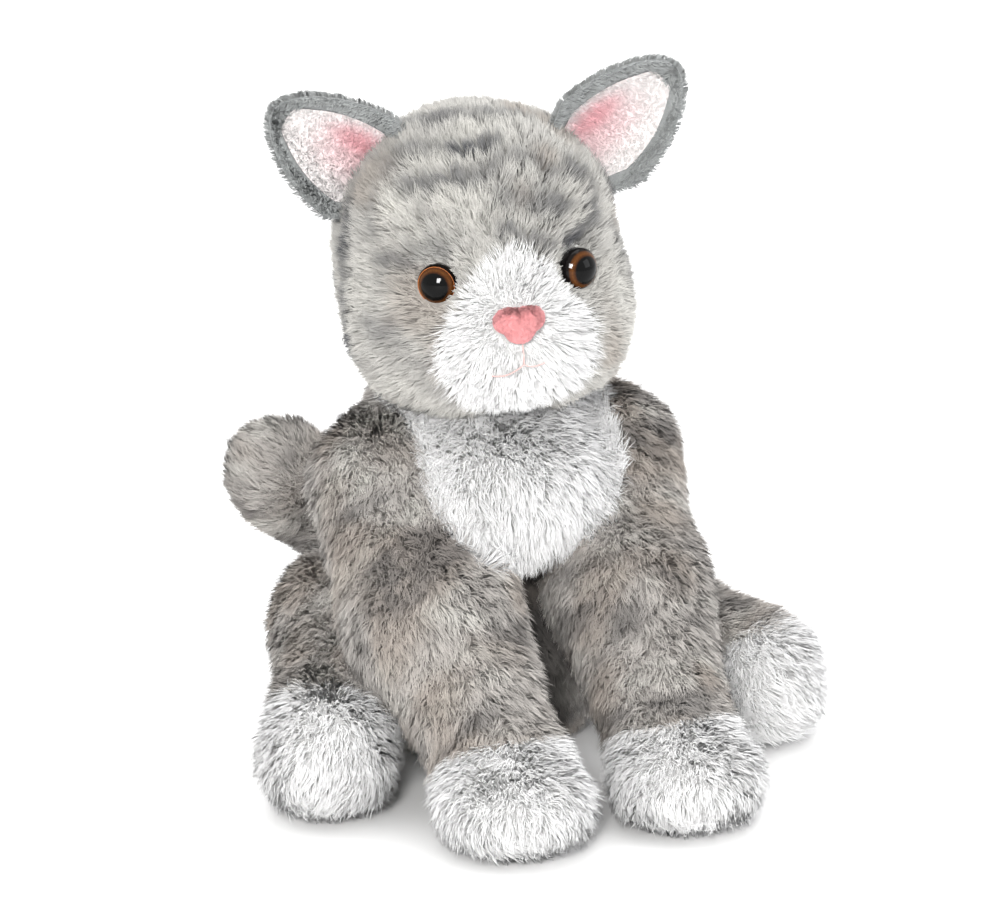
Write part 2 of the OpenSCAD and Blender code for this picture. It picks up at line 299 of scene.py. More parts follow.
OWN = {name: melt(shapes, INNER_CREASE) for name, shapes in SHAPES.items()}
BODY_PARTS = [n for n in OWN if n != "head"]


def whole_body(p):
    """The torso with its limbs and tail, creases included."""
    return melt([OWN[n] for n in BODY_PARTS], LIMB_CREASE)(p)


def skin_field(name):
    """The closed skin of one body."""

    def field(p):
        d = OWN[name](p)
        if name != "head":
            mine = d
            d = np.maximum(whole_body(p), mine - FLAP)
            if name == "torso":
                limbs = np.min([OWN[n](p) for n in BODY_PARTS if n != "torso"], axis=0)
                d = d + 0.8 * MM * np.clip((mine - limbs) / (4 * MM), 0, 1)
        return np.maximum(d, REST_Z - p[..., 2])

    return field


# ---- meshes ----


def grid_mesh(field, low, high, step):
    """Points and quads of the surface where a field is zero."""
    low, high = low - 2 * step, high + 2 * step
    counts = np.ceil((high - low) / step).astype(int) + 1
    axes = [low[i] + step * np.arange(counts[i]) for i in range(3)]
    p = np.stack(np.meshgrid(*axes, indexing="ij"), -1)
    values = field(p.reshape(-1, 3)).reshape(counts)
    grid = openvdb.FloatGrid()
    grid.background = 1.0
    grid.copyFromArray((values / step).astype(np.float32))
    points, quads = grid.convertToQuads(0.0)
    return low + points * step, quads.astype(int)


def body_reach(name):
    """A box that surely holds one body's skin."""
    if name == "head":
        reach = vec(1, 1, 1) * (HEAD_HALF + 14 * MM)
        return HEAD_C - reach, HEAD_C + reach
    nodes = {"torso": ["torso_cover"], "tail": ["tail_cover"]}.get(name)
    if nodes is None:
        nodes = [f"{name}_cover", name.replace("leg", "paw") + "_cover"]
    corners = np.array([c for n in nodes for c in box(n)])
    margin = 16 * MM
    if name == "torso":
        corners = np.vstack([corners, NECK + vec(0, 0, 42 * MM)])
    return corners.min(0) - margin, corners.max(0) + margin


def mesh_object(name, points, faces):
    mesh = bpy.data.meshes.new(name)
    mesh.from_pydata([tuple(p) for p in points], [], [tuple(int(i) for i in f) for f in faces])
    mesh.polygons.foreach_set("use_smooth", np.ones(len(mesh.polygons), bool))
    obj = bpy.data.objects.new(name, mesh)
    bpy.context.scene.collection.objects.link(obj)
    return obj


def normals_of(points, quads):
    tri = np.vstack([quads[:, [0, 1, 2]], quads[:, [0, 2, 3]]]) if quads.shape[1] == 4 else quads
    across = np.cross(points[tri[:, 1]] - points[tri[:, 0]], points[tri[:, 2]] - points[tri[:, 0]])
    out = np.zeros_like(points)
    for i in range(3):
        np.add.at(out, tri[:, i], across)
    return unit(out), tri, np.linalg.norm(across, axis=1) / 2


def lumps(p, size, seed):
    """Smooth noise from -1 to 1 whose lumps are about one size across."""
    q = p / size + seed * 17.13
    cell = np.floor(q).astype(np.int64)
    f = q - cell
    f = f * f * (3 - 2 * f)
    total = np.zeros(len(p))
    for corner in range(8):
        o = vec(corner & 1, (corner >> 1) & 1, corner >> 2).astype(np.int64)
        w = np.prod(np.where(o == 1, f, 1 - f), axis=1)
        total += w * dice(cell + o, seed)
    return total


def dice(cell, seed):
    """A repeatable random value from -1 to 1 for each whole-number cell."""
    h = (cell[:, 0] * 73856093) ^ (cell[:, 1] * 19349663) ^ (cell[:, 2] * 83492791) ^ (seed * 2654435761)
    h = (h ^ (h >> 13)) * 1274126177 & 0xFFFFFFFF
    h = (h ^ (h >> 16)) * 2246822519 & 0xFFFFFFFF
    return ((h >> 8) & 0xFFFF) / 32767.5 - 1


def tufts(p, size, seed):
    """For each point, the middle of its tuft and a random value that its tuft shares."""
    cell = np.floor(p / size).astype(np.int64)
    best = np.full(len(p), 1e9)
    centre = np.zeros_like(p)
    value = np.zeros(len(p))
    for dx in (-1, 0, 1):
        for dy in (-1, 0, 1):
            for dz in (-1, 0, 1):
                c = cell + np.array([dx, dy, dz])
                spot = np.stack([dice(c, seed + i) for i in range(3)], 1) * 0.5 + 0.5
                spot = (c + spot) * size
                d = np.linalg.norm(spot - p, axis=1)
                near = d < best
                best = np.where(near, d, best)
                centre[near] = spot[near]
                value[near] = dice(c, seed + 5)[near]
    return centre, value


# ---- padded skins ----

SKIN_STEP = 2.8 * MM
FILL_STEP = 5 * MM
CLOTH_FRAMES = 12
PRESSURE = 4.0
LARGEST_MOVE = 3 * MM


def skin_points(name):
    """The skin's mesh, made slightly small and lumpy, as loose stuffing leaves it."""
    low, high = body_reach(name)
    shape = skin_field(name)

    def small(p):
        soft = 1.3 * MM * lumps(p, 26 * MM, 3) + 0.8 * MM * lumps(p, 12 * MM, 4)
        return shape(p) + 1.0 * MM + soft

    return grid_mesh(small, low, high, SKIN_STEP)


def puff(obj, held):
    """Fills a skin like a stuffed toy: cloth under pressure, held along its seams."""
    rest = vertices_of(obj)
    group = obj.vertex_groups.new(name="seams")
    for i in np.nonzero(held > 0.01)[0]:
        group.add([int(i)], float(held[i]), "REPLACE")
    modifier = obj.modifiers.new("stuffing", "CLOTH")
    cloth = modifier.settings
    cloth.quality = 4
    cloth.mass = 0.15
    cloth.use_pressure = True
    cloth.uniform_pressure_force = PRESSURE
    cloth.effector_weights.gravity = 0
    cloth.tension_stiffness = 12
    cloth.compression_stiffness = 12
    cloth.bending_stiffness = 0.4
    cloth.vertex_group_mass = "seams"
    cloth.pin_stiffness = 1.0
    modifier.collision_settings.use_collision = False
    modifier.point_cache.frame_end = CLOTH_FRAMES
    scene = bpy.context.scene
    for f in range(1, CLOTH_FRAMES + 1):
        scene.frame_set(f)
    graph = bpy.context.evaluated_depsgraph_get()
    puffed = vertices_of(obj.evaluated_get(graph))
    obj.modifiers.clear()
    scene.frame_set(1)
    move = puffed - rest
    size = np.linalg.norm(move, axis=1, keepdims=True)
    move *= np.minimum(1, LARGEST_MOVE / np.maximum(size, 1e-9))
    moved = rest + move
    moved[:, 2] = np.maximum(moved[:, 2], REST_Z)
    obj.data.vertices.foreach_set("co", moved.astype(np.float32).ravel())
    obj.data.update()


def vertices_of(obj):
    out = np.zeros(len(obj.data.vertices) * 3, np.float32)
    obj.data.vertices.foreach_get("co", out)
    return out.reshape(-1, 3).astype(float)


def quads_of(obj):
    out = np.zeros(len(obj.data.loops), np.int32)
    obj.data.loops.foreach_get("vertex_index", out)
    return out.reshape(-1, 4).astype(int)


def front_paw_edge(side, p):
    """Above zero on the white paw, in metres from its seam."""
    leg = FRONT[side]
    c = (leg["low"] + leg["high"]) / 2
    q = (p - vec(c[0], c[1] - 1 * MM, 16 * MM)) / vec(34 * MM, 33 * MM, 25 * MM)
    return (1 - np.linalg.norm(q, axis=-1)) * 28 * MM


def hind_paw_edge(side, p):
    leg = HIND[side]
    c = (leg["low"] + leg["high"]) / 2
    q = (p - vec(c[0], c[1], 19 * MM)) / vec(30 * MM, 30 * MM, 29 * MM)
    return (1 - np.linalg.norm(q, axis=-1)) * 26 * MM


BIB_FOOT = 88 * MM
BIB_WIDEST = 124 * MM
BIB_HALF = 41 * MM


def bib_edge(p):
    """Above zero on the white chest panel: a U hung from the chin, its foot a little to the cat's right."""
    z = p[..., 2]
    fall = (BIB_WIDEST - z) / (BIB_WIDEST - BIB_FOOT)
    x = p[..., 0] - NECK[0] + 9 * MM * np.clip(fall, 0, 1.5)
    out = np.hypot(x / BIB_HALF, np.maximum(fall, 0))
    front = (up_torso(96 * MM)[1] - 14 * MM) - p[..., 1]
    return np.minimum((1 - out) * 37 * MM, front)


def muzzle_edge(p):
    """Above zero on the white muzzle and its blaze."""
    q = (p - HEAD_C) @ HEAD_M / HEAD_R
    x, y, z = q[..., 0], q[..., 1], q[..., 2]
    pad = 1 - np.hypot(x / 0.50, (z + 0.43) / 0.42)
    blaze = 1 - np.hypot(x / 0.215, (z + 0.06) / 0.27)
    mid = 1 - np.hypot(x / 0.36, (z + 0.20) / 0.34)
    front = (-0.30 - y) * 2
    return np.minimum(np.maximum(np.maximum(pad, blaze), mid), front) * 22 * MM


def panel_edge(name, p):
    """Signed distance to the seam between a body's grey and white panels, above zero on the white."""
    if name == "torso":
        return bib_edge(p)
    if name == "head":
        return muzzle_edge(p)
    if name.startswith("front"):
        return np.maximum(front_paw_edge(name.split("_")[2], p), bib_edge(p))
    if name.startswith("hind"):
        return hind_paw_edge(name.split("_")[2], p)
    return np.full(len(p), -1.0)


def build_skin(name):
    """One body's skin, filled, as a mesh object."""
    points, quads = skin_points(name)
    obj = mesh_object(name + "_skin", points, quads)
    seam = np.exp(-((panel_edge(name, points) / (3 * MM)) ** 2))
    held = np.maximum(seam, points[:, 2] < REST_Z + 1 * MM)
    puff(obj, np.maximum(held, 0.02))
    return obj


# ---- pile: each tuft of the plush is drawn as many flat tapering strands ----

STRAND_W = 0.36 * MM
# Light spreads inside the pile, so it is shaded as if it faced a little more up and forward
PILE_GLOW = vec(-0.10, -0.35, 0.50)


def surface_samples(obj, per_mm2, seed):
    """Random points of a skin, with their normals."""
    points, quads = vertices_of(obj), quads_of(obj)
    normals, tri, area = normals_of(points, quads)
    rng = np.random.default_rng(seed)
    count = int(area.sum() * 1e6 * per_mm2)
    pick = rng.choice(len(tri), count, p=area / area.sum())
    a, b = rng.random(count), rng.random(count)
    flip = a + b > 1
    a[flip], b[flip] = 1 - a[flip], 1 - b[flip]
    c = 1 - a - b
    t = tri[pick]
    p = c[:, None] * points[t[:, 0]] + a[:, None] * points[t[:, 1]] + b[:, None] * points[t[:, 2]]
    n = unit(c[:, None] * normals[t[:, 0]] + a[:, None] * normals[t[:, 1]] + b[:, None] * normals[t[:, 2]])
    return p, n, rng


def comb(p, n, along, lean, length, rng, tuft=4.5 * MM, clump=0.45, seed=11):
    """Middle and tip of each strand, leaning along a direction and drawn together in tufts."""
    centre, value = tufts(p, tuft, seed)
    _, value2 = tufts(p, tuft * 2.7, seed + 40)
    swirl = np.stack([value, value2, tufts(p, tuft, seed + 20)[1]], 1)
    along = along - (along * n).sum(1, keepdims=True) * n
    along = unit(unit(along) + 0.45 * swirl + 0.22 * rng.normal(size=p.shape))
    along = unit(along - (along * n).sum(1, keepdims=True) * n)
    lean = np.radians(lean + 9 * value2 + 7 * rng.normal(size=len(p)))
    length = length * (1 + 0.12 * value) * (0.78 + 0.34 * rng.random(len(p)))
    first, second = lean * 0.55, lean * 1.35
    up = np.cos(first)[:, None] * n + np.sin(first)[:, None] * along
    over = np.cos(second)[:, None] * n + np.sin(second)[:, None] * along
    mid = p + up * (length * 0.5)[:, None]
    tip = mid + over * (length * 0.5)[:, None]
    pull = centre - p
    pull -= (pull * n).sum(1, keepdims=True) * n
    return mid + pull * clump * 0.4, tip + pull * clump


def strand_mesh(name, root, mid, tip, normal, tint, width, rng):
    """One mesh of flat strands. Each keeps its tint, how far along it a point is, and its skin's normal."""
    count = len(root)
    order = np.lexsort((root[:, 0], np.floor(root[:, 2] / (2 * MM))))
    root, mid, tip, normal, tint = root[order], mid[order], tip[order], normal[order], tint[order]
    width = np.broadcast_to(width, count)[order] * 0.5
    way = unit(tip - root)
    across = unit(np.cross(way, unit(normal * 0.6 + rng.normal(size=root.shape) * 0.75)))
    across *= width[:, None]
    points = np.empty((count, 5, 3), np.float32)
    points[:, 0], points[:, 1] = root - across, root + across
    points[:, 2], points[:, 3] = mid - across * 0.85, mid + across * 0.85
    points[:, 4] = tip
    points[..., 2] = np.maximum(points[..., 2], 0.3 * MM)
    start = np.arange(count)[:, None] * 5
    loops = (start + np.array([0, 1, 3, 2, 2, 3, 4])).astype(np.int32)
    starts = (np.arange(count)[:, None] * 7 + np.array([0, 4])).astype(np.int32)
    mesh = bpy.data.meshes.new(name)
    mesh.vertices.add(count * 5)
    mesh.vertices.foreach_set("co", points.ravel())
    mesh.loops.add(count * 7)
    mesh.loops.foreach_set("vertex_index", loops.ravel())
    mesh.polygons.add(count * 2)
    mesh.polygons.foreach_set("loop_start", starts.ravel())
    mesh.update(calc_edges=True)
    mesh.polygons.foreach_set("use_smooth", np.ones(count * 2, bool))
    color = mesh.attributes.new("tint", "FLOAT_COLOR", "POINT")
    rgba = np.ones((count, 5, 4), np.float32)
    rgba[..., :3] = tint[:, None, :]
    color.data.foreach_set("color", rgba.ravel())
    along = mesh.attributes.new("along", "FLOAT", "POINT")
    along.data.foreach_set("value", np.tile(np.array([0, 0, 0.5, 0.5, 1], np.float32), count))
    facing = mesh.attributes.new("facing", "FLOAT_VECTOR", "POINT")
    lift = unit(normal + 0.35 * unit(way) + PILE_GLOW)
    facing.data.foreach_set("vector", np.repeat(lift.astype(np.float32), 5, axis=0).ravel())
    pack_uv(mesh, count)
    obj = bpy.data.objects.new(name, mesh)
    bpy.context.scene.collection.objects.link(obj)
    return obj


def pack_uv(mesh, count):
    """Gives every strand a small square of its own on the map."""
    side_count = max(1, math.ceil(math.sqrt(count)))
    i = np.arange(count)
    cell = np.stack([i % side_count, i // side_count], 1)[:, None, :]
    corner = np.array([[0.1, 0.1], [0.9, 0.1], [0.9, 0.5], [0.1, 0.5], [0.1, 0.5], [0.9, 0.5], [0.5, 0.9]])
    layer = mesh.uv_layers.new(name="OFBake")
    layer.data.foreach_set("uv", ((cell + corner) / side_count).astype(np.float32).ravel())


# ---- colours of the pile ----


def srgb(*values):
    c = vec(*values) / 255
    return np.where(c <= 0.04045, c / 12.92, ((c + 0.055) / 1.055) ** 2.4)


CREAM = srgb(222, 220, 213)
BASE = srgb(192, 190, 186)
SLATE = srgb(74, 76, 82)
BROWN = srgb(168, 153, 140)
WARM = srgb(196, 191, 186)
SHADE = srgb(126, 123, 121)
WHITE = srgb(252, 252, 252)
EAR_GREY = srgb(176, 179, 179)
LINING_WHITE = srgb(250, 244, 243)
LINING_PINK = srgb(249, 208, 212)
LINING_ROSE = srgb(244, 150, 162)
NOSE_PINK = srgb(252, 168, 170)

# Airbrushed markings of the face: half width in degrees, strength, and the way each runs, as degrees round
# from the middle of the face toward the cat's left and degrees up
MARKS = [
    (4.0, 0.75, [(-98, 60), (-62, 66), (-45, 72), (-11, 73), (28, 72), (56, 69)]),
    (3.6, 0.90, [(-60, 49), (-33, 52), (-19, 52), (-7, 52), (2, 55)]),
    (3.4, 0.60, [(1, 46), (11, 48), (20, 46), (28, 40), (37, 36)]),
    (3.6, 0.85, [(-44, 36), (-34, 37), (-23, 41), (-14, 39), (-5, 42)]),
    (5.0, 0.80, [(1, 31), (9, 29), (18, 28), (27, 26)]),
    (3.6, 0.95, [(43, 38), (51, 33), (51, 25), (45, 18), (35, 14), (29, 12)]),
    (3.4, 0.60, [(-56, 44), (-60, 34), (-59, 26), (-55, 18)]),
    (4.0, 0.95, [(-76, 26), (-77, 17), (-76, 10), (-75, 1), (-74, -9), (-71, -16), (-72, -26)]),
    (4.5, 0.85, [(-94, -4), (-94, -13), (-91, -24), (-89, -30), (-86, -38), (-81, -47)]),
    (5.5, 0.80, [(-48, -44), (-58, -55), (-54, -66), (-32, -71), (23, -70), (45, -62), (56, -52)]),
    (4.0, 0.75, [(-54, 8), (-46, 9), (-40, 7)]),
    (3.4, 0.50, [(-53, -14), (-42, -13)]),
    (3.6, 0.60, [(-38, 13), (-31, 15), (-25, 12)]),
    (3.0, 0.80, [(-2, 18), (7, 14), (15, 9)]),
    (4.0, 0.60, [(66, 8), (64, -3), (62, -14)]),
    (4.0, 0.90, [(78, 28), (80, 12), (77, -4), (73, -20)]),
    (4.5, 0.80, [(98, 2), (96, -15), (90, -32), (84, -46)]),
]
LIGHTS = [
    (9.0, 0.95, [(-50, 30), (-42, 26)]),
    (9.0, 0.80, [(-22, 29), (-12, 27)]),
    (7.0, 0.85, [(33, 30), (38, 20)]),
    (9.0, 0.70, [(-52, -32), (-44, -42)]),
    (8.0, 0.75, [(-40, 46), (0, 62)]),
    (9.0, 0.60, [(-62, -4), (-58, 6)]),
    (8.0, 0.70, [(46, -6), (48, -24)]),
]


def head_directions(p):
    q = (p - HEAD_C) @ HEAD_M / vec(HEAD_R, HEAD_R, HEAD_HALF)
    return unit(q)


def on_ball(around, up):
    a, b = math.radians(around), math.radians(up)
    return vec(math.sin(a) * math.cos(b), -math.cos(a) * math.cos(b), math.sin(b))


def near_marks(u, marks, wobble):
    """How strongly each point lies under any of the markings, from 0 to 1."""
    total = np.zeros(len(u))
    for width, strength, way in marks:
        spots = [on_ball(*w) for w in way]
        best = np.full(len(u), 9.0)
        for a, b in zip(spots, spots[1:]):
            t = np.clip(((u - a) @ (b - a)) / ((b - a) @ (b - a)), 0, 1)
            best = np.minimum(best, np.linalg.norm(u - a - t[:, None] * (b - a), axis=1))
        degrees = np.degrees(best) + wobble
        total = np.maximum(total, strength * np.exp(-((np.maximum(degrees, 0) / width) ** 2)))
    return total


def mix(a, b, t):
    return a + (b - a) * np.clip(t, 0, 1)[:, None]


def step_between(low, high, x):
    """Rises smoothly from 0 at low to 1 at high, which may be the smaller of the two."""
    t = np.clip((x - low) / (high - low), 0, 1)
    return t * t * (3 - 2 * t)


def head_tint(p):
    u = head_directions(p)
    fine, coarse = lumps(p, 5 * MM, 21), lumps(p, 14 * MM, 22)
    long_way = lumps(p * vec(1, 1, 2.2), 11 * MM, 23)
    dark = near_marks(u, MARKS, 1.6 * fine + 1.2 * coarse) * (0.78 + 0.3 * lumps(p, 9 * MM, 24))
    light = near_marks(u, LIGHTS, 2.5 * coarse)
    back = step_between(-0.25, 0.35, u[:, 1])
    stripes = step_between(0.15, 0.6, lumps(p * vec(0.5, 0.5, 2.2), 13 * MM, 25)) * back
    out = mix(np.tile(BASE, (len(p), 1)), CREAM, 0.28 + 0.5 * light + 0.3 * long_way)
    out = mix(out, BROWN, step_between(0.05, 0.7, coarse) * 0.45 * (1 - light))
    out = mix(out, SHADE, step_between(0.3, 0.9, -long_way) * 0.35)
    return mix(out, SLATE, np.maximum(dark, 0.75 * stripes))


def limb_axis(name):
    if name.startswith("front"):
        leg = FRONT[name.split("_")[2]]
        return unit((leg["low"] + leg["high"]) / 2 - leg["top"])
    if name.startswith("hind"):
        leg = HIND[name.split("_")[2]]
        return unit((leg["low"] + leg["high"]) / 2 - leg["top"])
    if name == "tail":
        return unit(tail_line()[-1] - TAIL_ROOT)
    return vec(0, 0, -1)


def body_tint(p, name):
    """Warm grey with darker and lighter patches that run across the limb, and painted shade on the belly
    between the front legs.
    """
    axis = limb_axis(name)
    across = p + (p @ axis)[:, None] * axis * 0.9
    big, mid, fine = lumps(across, 19 * MM, 31), lumps(across, 10 * MM, 32), lumps(p, 4.5 * MM, 33)
    wide = lumps(p, 34 * MM, 34)
    dark = step_between(0.02, 0.62, 0.75 * big + 0.5 * mid + 0.25 * wide + 0.15 * fine)
    light = step_between(0.05, 0.65, -0.6 * big + 0.7 * lumps(across, 8 * MM, 35))
    out = mix(np.tile(WARM, (len(p), 1)), CREAM, 0.55 * light)
    out = mix(out, BROWN, 0.5 * step_between(-0.2, 0.6, lumps(p, 16 * MM, 36)))
    out = mix(out, SHADE * 0.9, 0.68 * dark)
    if name.startswith("front") or name == "tail":
        return out
    # Painted shade: the fur of the belly between the front legs is darkened where shade falls.
    return out * (1 - 0.70 * belly_painted_shade(p))[:, None]


def belly_painted_shade(p):
    """From 0 to 1 where shade is painted into the belly between the front legs."""
    inside = step_between(30 * MM, 16 * MM, np.abs(p[:, 0] - NECK[0]))
    return inside * step_between(96 * MM, 84 * MM, p[:, 2]) * step_between(40 * MM, 10 * MM, p[:, 1])


def grey_tint(p, name):
    return head_tint(p) if name == "head" else body_tint(p, name)


def pile_tint(p, name, white, rng):
    """Colour of each strand by its root, with small differences between tufts and strands."""
    grey = grey_tint(p, name)
    share = step_between(-0.8 * MM, 0.8 * MM, white + rng.normal(0, 0.5 * MM, len(p)))
    value = 1 + 0.07 * tufts(p, 3.5 * MM, 61)[1] + 0.06 * rng.normal(size=len(p))
    out = mix(grey, WHITE, share)
    out *= np.where(share > 0.5, 1 + (value - 1) * 0.3, value)[:, None]
    return np.clip(out, 0.02, 0.96)


# ---- materials ----


def new_material(name, rough, sheen=0.0, specular=0.3):
    material = bpy.data.materials.new(name)
    material.use_nodes = True
    shader = material.node_tree.nodes["Principled BSDF"]
    shader.inputs["Roughness"].default_value = rough
    shader.inputs["Specular IOR Level"].default_value = specular
    if sheen:
        shader.inputs["Sheen Weight"].default_value = sheen
        shader.inputs["Sheen Roughness"].default_value = 0.4
    return material, material.node_tree, shader


def node(tree, kind, **settings):
    made = tree.nodes.new(kind)
    for key, value in settings.items():
        setattr(made, key, value)
    return made


def noise_value(tree, scale, detail, low, high):
    """A noise that runs from low to high, on the object's own coordinates."""
    place = node(tree, "ShaderNodeTexCoord")
    made = node(tree, "ShaderNodeTexNoise")
    made.inputs["Scale"].default_value = scale
    made.inputs["Detail"].default_value = detail
    spread = node(tree, "ShaderNodeMapRange")
    spread.inputs["From Min"].default_value = 0.3
    spread.inputs["From Max"].default_value = 0.7
    spread.inputs["To Min"].default_value = low
    spread.inputs["To Max"].default_value = high
    tree.links.new(place.outputs["Object"], made.inputs["Vector"])
    tree.links.new(made.outputs["Fac"], spread.inputs["Value"])
    return spread.outputs["Result"]


def times(tree, color, value):
    """A colour times a value."""
    made = node(tree, "ShaderNodeVectorMath", operation="SCALE")
    tree.links.new(color, made.inputs[0])
    tree.links.new(value, made.inputs["Scale"])
    return made.outputs["Vector"]


def plush_material(name, root_painted_shade=0.74, tip_painted_light=1.08, sheen=0.2):
    """Pile: the strand's own tint, with painted shade toward its root and a painted highlight toward its
    tip.
    """
    material, tree, shader = new_material(name, 0.85, sheen, 0.1)
    material.cycles.use_bump_map_correction = False
    tint = node(tree, "ShaderNodeAttribute", attribute_name="tint")
    along = node(tree, "ShaderNodeAttribute", attribute_name="along")
    # Painted shade at the root and painted light at the tip: the tint is scaled along each strand.
    shade = node(tree, "ShaderNodeMapRange")
    shade.inputs["To Min"].default_value = root_painted_shade
    shade.inputs["To Max"].default_value = tip_painted_light
    tree.links.new(along.outputs["Fac"], shade.inputs["Value"])
    color = times(tree, tint.outputs["Color"], shade.outputs["Result"])
    color = times(tree, color, noise_value(tree, 260, 3, 0.93, 1.05))
    tree.links.new(color, shader.inputs["Base Color"])
    facing = node(tree, "ShaderNodeAttribute", attribute_name="facing")
    turn = node(tree, "ShaderNodeVectorTransform", vector_type="NORMAL",
                convert_from="OBJECT", convert_to="WORLD")
    tree.links.new(facing.outputs["Vector"], turn.inputs["Vector"])
    tree.links.new(turn.outputs["Vector"], shader.inputs["Normal"])
    return material


def bump(tree, shader, scale, detail, strength, distance):
    """Fine relief on the object's own coordinates."""
    place = node(tree, "ShaderNodeTexCoord")
    made = node(tree, "ShaderNodeTexNoise")
    made.inputs["Scale"].default_value = scale
    made.inputs["Detail"].default_value = detail
    relief = node(tree, "ShaderNodeBump")
    relief.inputs["Strength"].default_value = strength
    relief.inputs["Distance"].default_value = distance
    tree.links.new(place.outputs["Object"], made.inputs["Vector"])
    tree.links.new(made.outputs["Fac"], relief.inputs["Height"])
    tree.links.new(relief.outputs["Normal"], shader.inputs["Normal"])


def backing_material(name, low=0.55, high=0.7):
    """The knitted backing that the pile stands on, in the pile's own colours, darkened between low and high
    as painted shade beneath the pile.
    """
    material, tree, shader = new_material(name, 0.95, 0.3, 0.1)
    tint = node(tree, "ShaderNodeAttribute", attribute_name="tint")
    # Painted shade beneath the pile: the tint is scaled by a noise between low and high.
    color = times(tree, tint.outputs["Color"], noise_value(tree, 900, 2, low, high))
    tree.links.new(color, shader.inputs["Base Color"])
    bump(tree, shader, 1400, 2, 0.4, 0.0004)
    return material


def speckled_material(name, color, rough, scale, low, high, sheen=0.0, relief=0.0):
    """One colour with fine variation and relief."""
    material, tree, shader = new_material(name, rough, sheen)
    base = node(tree, "ShaderNodeRGB")
    base.outputs[0].default_value = (*color, 1)
    tree.links.new(times(tree, base.outputs[0], noise_value(tree, scale, 4, low, high)),
                   shader.inputs["Base Color"])
    if relief:
        bump(tree, shader, scale, 4, 0.5, relief)
    return material


def eye_material(name):
    """A polished plastic eye: amber ring round a black pupil, under a clear coat."""
    material, tree, shader = new_material(name, 0.3, 0, 0.0)
    shader.inputs["Coat Weight"].default_value = 1.0
    shader.inputs["Coat Roughness"].default_value = 0.02
    shader.inputs["Coat IOR"].default_value = 1.22
    ring = node(tree, "ShaderNodeAttribute", attribute_name="ring")
    ramp = node(tree, "ShaderNodeValToRGB")
    stops = [(0.0, (0.002, 0.002, 0.002)), (0.64, (0.002, 0.002, 0.002)), (0.68, (0.03, 0.010, 0.003)),
             (0.78, (0.09, 0.031, 0.007)), (0.87, (0.055, 0.018, 0.004)), (0.91, (0.006, 0.004, 0.003)),
             (1.0, (0.004, 0.003, 0.003))]
    while len(ramp.color_ramp.elements) < len(stops):
        ramp.color_ramp.elements.new(0.5)
    for element, (place, color) in zip(ramp.color_ramp.elements, stops):
        element.position = place
        element.color = (*color, 1)
    tree.links.new(ring.outputs["Fac"], ramp.inputs["Fac"])
    color = times(tree, ramp.outputs["Color"], noise_value(tree, 1500, 3, 0.8, 1.2))
    tree.links.new(color, shader.inputs["Base Color"])
    return material


TABBY = plush_material("tabby_plush")
WHITE_PLUSH = plush_material("white_plush", root_painted_shade=0.97, tip_painted_light=1.02)
EAR_PLUSH = plush_material("short_grey_plush", root_painted_shade=0.8, tip_painted_light=1.04)
LINING_PLUSH = plush_material("ear_lining_plush", root_painted_shade=0.9, tip_painted_light=1.0)
VELOUR = plush_material("pink_velour", root_painted_shade=0.85, tip_painted_light=1.05, sheen=0.5)
BACKING = backing_material("knitted_backing")
BACKING_PALE = backing_material("lining_backing", 0.92, 1.0)
FIBRE = speckled_material("stuffing_fibre", srgb(243, 241, 235), 0.95, 220, 0.8, 1.0,
                          sheen=0.4, relief=0.002)
THREAD = speckled_material("mouth_thread", srgb(206, 172, 168), 0.8, 2500, 0.7, 1.1, sheen=0.3)
SEAM_THREAD = speckled_material("seam_thread", srgb(120, 118, 116), 0.8, 2500, 0.7, 1.1, sheen=0.3)
PLASTIC = speckled_material("washer_plastic", srgb(236, 236, 232), 0.35, 300, 0.94, 1.0)
AMBER = speckled_material("amber_paint", srgb(170, 96, 36), 0.3, 1200, 0.75, 1.15)
BAG_CLOTH = speckled_material("bean_bag_cloth", srgb(214, 198, 170), 0.9, 1200, 0.75, 1.0,
                              sheen=0.3, relief=0.0005)
EYE = eye_material("eye_gloss")


# ---- how pieces follow the bodies ----


def follow(obj, body):
    """The torso, head, neck and ears ride with their bodies as they are; every other piece has its place
    baked into its mesh.
    """
    if body in ("torso", "head", "neck") or body.startswith("ear"):
        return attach(obj, body)
    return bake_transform(obj)


def dress(obj, material, slot, *nodes):
    obj.data.materials.append(material)
    if nodes:
        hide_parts(*nodes)
    return obj


def set_tint(obj, rgb):
    color = obj.data.attributes.new("tint", "FLOAT_COLOR", "POINT")
    rgba = np.ones((len(rgb), 4), np.float32)
    rgba[:, :3] = rgb
    color.data.foreach_set("color", rgba.ravel())


def panel_object(name, points, quads, body, white):
    """The part of a skin on one side of its seam, as a piece of its own."""
    used, faces = np.unique(quads, return_inverse=True)
    faces = faces.reshape(quads.shape)
    obj = mesh_object(name, points[used], faces)
    p = points[used]
    set_tint(obj, np.tile(WHITE, (len(p), 1)) if white else grey_tint(p, body))
    return obj


GREY_NODE = {"torso": "torso_cover", "head": "head_cover", "tail": "tail_cover"}
WHITE_NODE = {"torso": "chest_bib", "head": "muzzle_panel"}
STUFFING_NODE = {"torso": "torso_stuffing", "head": "head_stuffing", "tail": "tail_stuffing"}
for side in SIDES:
    for leg in ("front", "hind"):
        GREY_NODE[f"{leg}_leg_{side}"] = f"{leg}_leg_{side}_cover"
        WHITE_NODE[f"{leg}_leg_{side}"] = f"{leg}_paw_{side}_cover"
        STUFFING_NODE[f"{leg}_leg_{side}"] = f"{leg}_leg_{side}_stuffing"


def filling(body):
    """The loose fibre inside a skin."""
    low, high = body_reach(body)
    shape = skin_field(body)
    points, quads = grid_mesh(lambda p: shape(p) + 4.5 * MM + 0.8 * MM * lumps(p, 9 * MM, 8),
                              low, high, FILL_STEP)
    obj = mesh_object(body + "_filling", points, quads)
    dress(obj, FIBRE, "stuffing", STUFFING_NODE[body])
    return follow(obj, body)


